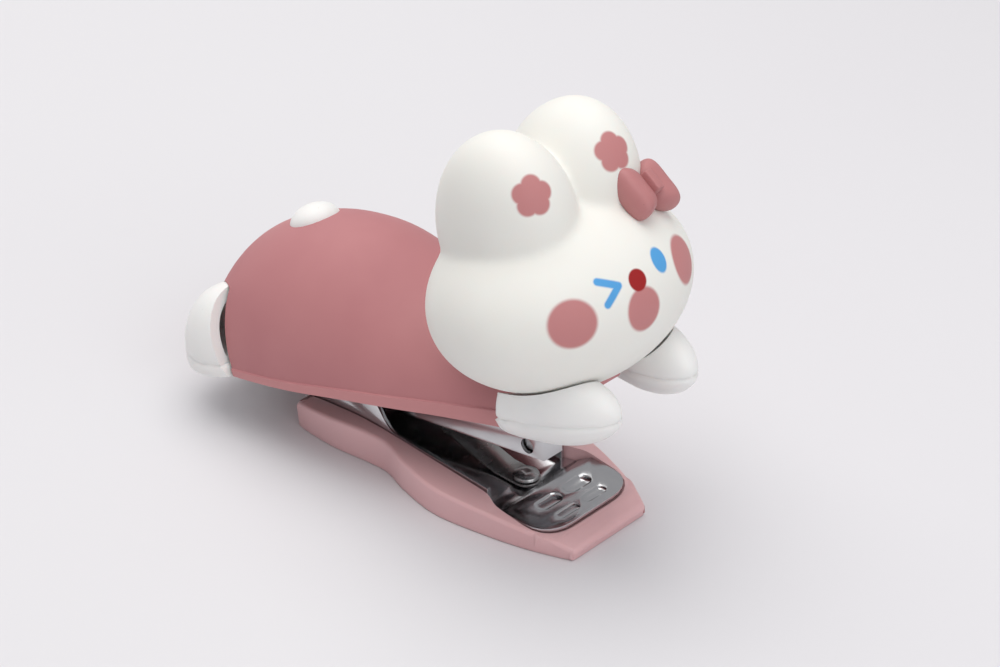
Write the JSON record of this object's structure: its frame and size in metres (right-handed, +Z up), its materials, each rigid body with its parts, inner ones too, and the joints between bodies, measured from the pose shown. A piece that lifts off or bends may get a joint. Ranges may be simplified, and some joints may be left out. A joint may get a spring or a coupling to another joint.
{
  "type": "stapler",
  "caption": "Small desk stapler with a rabbit-shaped moulded handle over a steel magazine, hinged at the rear on a waisted base with a plated anvil.",
  "frame": {"origin": "middle of the base's flat underside, on the surface it stands on", "axes": "+X from the rear pivot towards the anvil and the rabbit's face, +Y to the rabbit's left, +Z up"},
  "size_m": [0.1014, 0.0514, 0.0774],
  "materials": {
    "base_plastic": "light pink moulded plastic, satin",
    "body_soft_touch": "dusty rose soft-touch plastic, matt",
    "white_vinyl": "warm off-white soft vinyl, matt, with printed face",
    "white_plastic": "white moulded plastic, matt",
    "bow_vinyl": "dusty rose vinyl, satin",
    "chrome_sheet": "bright nickel-plated pressed sheet steel",
    "frame_steel": "zinc-plated pressed steel",
    "spring_steel": "bright spring steel",
    "pin_steel": "turned steel, plated"
  },
  "bodies": {
    "base": {"base_shoe": "base_plastic", "base_channel": "chrome_sheet", "pivot_pin": "pin_steel", "leaf_spring": "spring_steel", "spring_rivet": "pin_steel"},
    "magazine": {"magazine": "chrome_sheet", "guide_rod": "pin_steel", "pusher_spring": "spring_steel", "return_spring": "spring_steel"},
    "pusher": {"pusher": "frame_steel"},
    "handle": {"handle_frame": "frame_steel", "driver_blade": "frame_steel", "driver_rivet_left": "pin_steel", "driver_rivet_right": "pin_steel", "shell_screw_rear": "pin_steel", "shell_screw_front": "pin_steel", "head_screw": "pin_steel", "body_shell": "body_soft_touch", "head_shell": "white_vinyl", "ear_right": "white_vinyl", "ear_left": "white_vinyl", "bow_knot": "bow_vinyl", "bow_loop_inner": "bow_vinyl", "bow_loop_outer": "bow_vinyl", "paw_front_right": "white_plastic", "paw_front_left": "white_plastic", "foot_rear_right": "white_plastic", "foot_rear_left": "white_plastic", "tail_button": "white_plastic"}
  },
  "joints": [
    {"name": "magazine_hinge", "type": "hinge", "parent": "base", "child": "magazine", "pos_m": [-0.0285, 0, 0.0105], "axis": [0, 1, 0], "range_deg": [0, 11.2], "stiffness_Nm_per_rad": 1.2, "springref_deg": -6.88, "deforming": ["leaf_spring"]},
    {"name": "handle_hinge", "type": "hinge", "parent": "magazine", "child": "handle", "pos_m": [-0.0285, 0, 0.0105], "axis": [0, 1, 0], "range_deg": [-90, 8], "stiffness_Nm_per_rad": 0.6, "springref_deg": -0.69, "deforming": ["return_spring"]},
    {"name": "pusher_slide", "type": "slide", "parent": "magazine", "child": "pusher", "axis": [0.986, 0, 0.1668], "range_m": [-0.03, 0], "stiffness_N_per_m": 60, "springref_m": 0.01, "deforming": ["pusher_spring"]}
  ]
}
